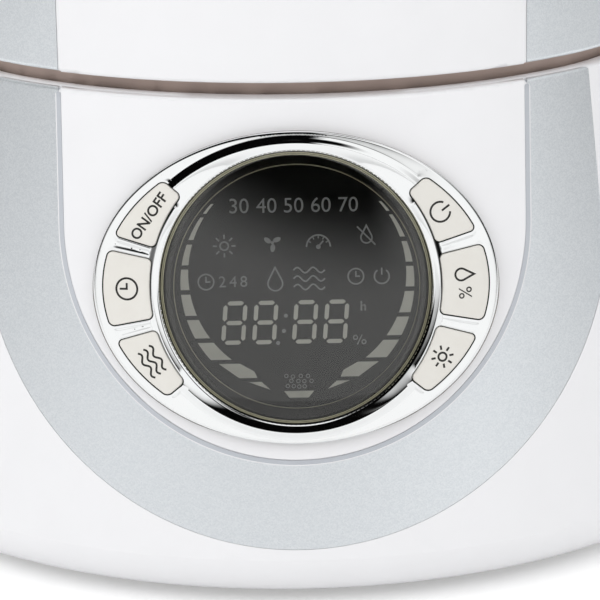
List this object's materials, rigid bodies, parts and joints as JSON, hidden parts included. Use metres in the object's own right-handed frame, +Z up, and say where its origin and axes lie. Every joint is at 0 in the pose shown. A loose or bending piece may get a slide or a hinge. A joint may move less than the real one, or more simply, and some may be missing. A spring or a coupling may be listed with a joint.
{
  "type": "cool mist humidifier",
  "caption": "Oval white ultrasonic humidifier: flared base with round display in a chrome bezel, silver band, lift-off water tank and a turning mist nozzle.",
  "frame": {"origin": "on the table, under the middle of the base's oval", "axes": "+Z up, -Y towards the front with the control panel, +X to the right seen from the front"},
  "size_m": [0.2692, 0.2295, 0.3551],
  "materials": {
    "white_shell": "moulded gloss white ABS",
    "silver_trim": "silver metallic paint on moulded plastic",
    "chrome_bezel": "bright chrome plate",
    "button_cap": "satin warm white moulding",
    "display_window": "clear window",
    "black_plastic": "moulded black plastic",
    "display_glass": "dark display glass",
    "inner_white": "moulded matt white plastic",
    "circuit_board": "green laminate",
    "component_black": "moulded component",
    "core_iron": "laminated core",
    "sink_aluminium": "extruded",
    "screw_steel": "zinc plated",
    "black_rubber": "moulded rubber",
    "clear_silicone": "silicone"
  },
  "bodies": {
    "base": {"base_housing": "white_shell", "bottom_plate": "inner_white", "base_screws": "screw_steel", "foot_front_left": "black_rubber", "foot_front_right": "black_rubber", "foot_rear_left": "black_rubber", "foot_rear_right": "black_rubber", "base_trim_band": "silver_trim", "front_panel": "white_shell", "control_bezel": "chrome_bezel", "display_lens": "display_window", "display_shroud": "black_plastic", "lcd_panel": "display_glass", "lcd_holder": "inner_white", "control_board": "circuit_board", "tact_switches": "component_black", "water_basin": "inner_white", "air_riser": "inner_white", "basin_pillars": "inner_white", "transducer_disc": "screw_steel", "transducer_seal": "black_rubber", "transducer_clamp": "inner_white", "transducer_screws": "screw_steel", "float_retainer": "inner_white", "fan_frame": "black_plastic", "fan_screws": "screw_steel", "air_duct": "black_plastic", "driver_board": "circuit_board", "heat_sink": "sink_aluminium", "power_board": "circuit_board", "transformer": "core_iron", "capacitors": "component_black", "humidity_sensor": "component_black", "cord_cup": "white_shell", "cord_gland": "black_rubber"},
    "power_key": {"power_button": "button_cap"},
    "timer_key": {"timer_button": "button_cap"},
    "mist_key": {"mist_button": "button_cap"},
    "auto_off_key": {"auto_off_button": "button_cap"},
    "humidity_key": {"humidity_button": "button_cap"},
    "dim_key": {"dim_button": "button_cap"},
    "float": {"water_float": "inner_white"},
    "fan": {"fan_impeller": "black_plastic"},
    "tank": {"tank_shell": "white_shell", "tank_floor": "inner_white", "filler_neck": "inner_white", "mist_tube": "inner_white", "tank_trim_band": "silver_trim"},
    "cap": {"tank_cap": "inner_white", "cap_seal": "clear_silicone", "valve_cage": "inner_white", "valve_spring": "screw_steel"},
    "valve": {"valve_plunger": "inner_white", "valve_washer": "clear_silicone"},
    "nozzle_base": {"nozzle_seat": "white_shell", "nozzle_trim_ring": "silver_trim"},
    "nozzle": {"mist_nozzle": "white_shell"}
  },
  "joints": [
    {"name": "power_press", "type": "slide", "parent": "base", "child": "power_key", "axis": [0, 0.9763, -0.2164], "range_m": [0, 0.0006], "stiffness_N_per_m": 1500},
    {"name": "timer_press", "type": "slide", "parent": "base", "child": "timer_key", "axis": [0, 0.9763, -0.2164], "range_m": [0, 0.0006], "stiffness_N_per_m": 1500},
    {"name": "mist_press", "type": "slide", "parent": "base", "child": "mist_key", "axis": [0, 0.9763, -0.2164], "range_m": [0, 0.0006], "stiffness_N_per_m": 1500},
    {"name": "auto_off_press", "type": "slide", "parent": "base", "child": "auto_off_key", "axis": [0, 0.9763, -0.2164], "range_m": [0, 0.0006], "stiffness_N_per_m": 1500},
    {"name": "humidity_press", "type": "slide", "parent": "base", "child": "humidity_key", "axis": [0, 0.9763, -0.2164], "range_m": [0, 0.0006], "stiffness_N_per_m": 1500},
    {"name": "dim_press", "type": "slide", "parent": "base", "child": "dim_key", "axis": [0, 0.9763, -0.2164], "range_m": [0, 0.0006], "stiffness_N_per_m": 1500},
    {"name": "tank_lift", "type": "slide", "parent": "base", "child": "tank", "axis": [0, 0, 1], "range_m": [0, 0.08]},
    {"name": "nozzle_lift", "type": "slide", "parent": "tank", "child": "nozzle_base", "axis": [0, 0, 1], "range_m": [0, 0.05]},
    {"name": "nozzle_turn", "type": "hinge", "parent": "nozzle_base", "child": "nozzle", "pos_m": [0, 0, 0.325], "axis": [0, 0, 1], "continuous": true},
    {"name": "cap_turn", "type": "hinge", "parent": "tank", "child": "cap", "pos_m": [0.05, 0, 0.13], "axis": [0, 0, 1], "range_deg": [0, 90]},
    {"name": "valve_slide", "type": "slide", "parent": "cap", "child": "valve", "axis": [0, 0, 1], "range_m": [-0.005, 0], "deforming": ["valve_spring"]},
    {"name": "float_rise", "type": "slide", "parent": "base", "child": "float", "axis": [0, 0, 1], "range_m": [0, 0.007]},
    {"name": "fan_spin", "type": "hinge", "parent": "base", "child": "fan", "pos_m": [0, 0.04, 0.02], "axis": [0, 0, 1], "continuous": true}
  ],
  "couplings": [
    {"joint": "valve_slide", "follows": "tank_lift", "ratio": -0.0625}
  ]
}
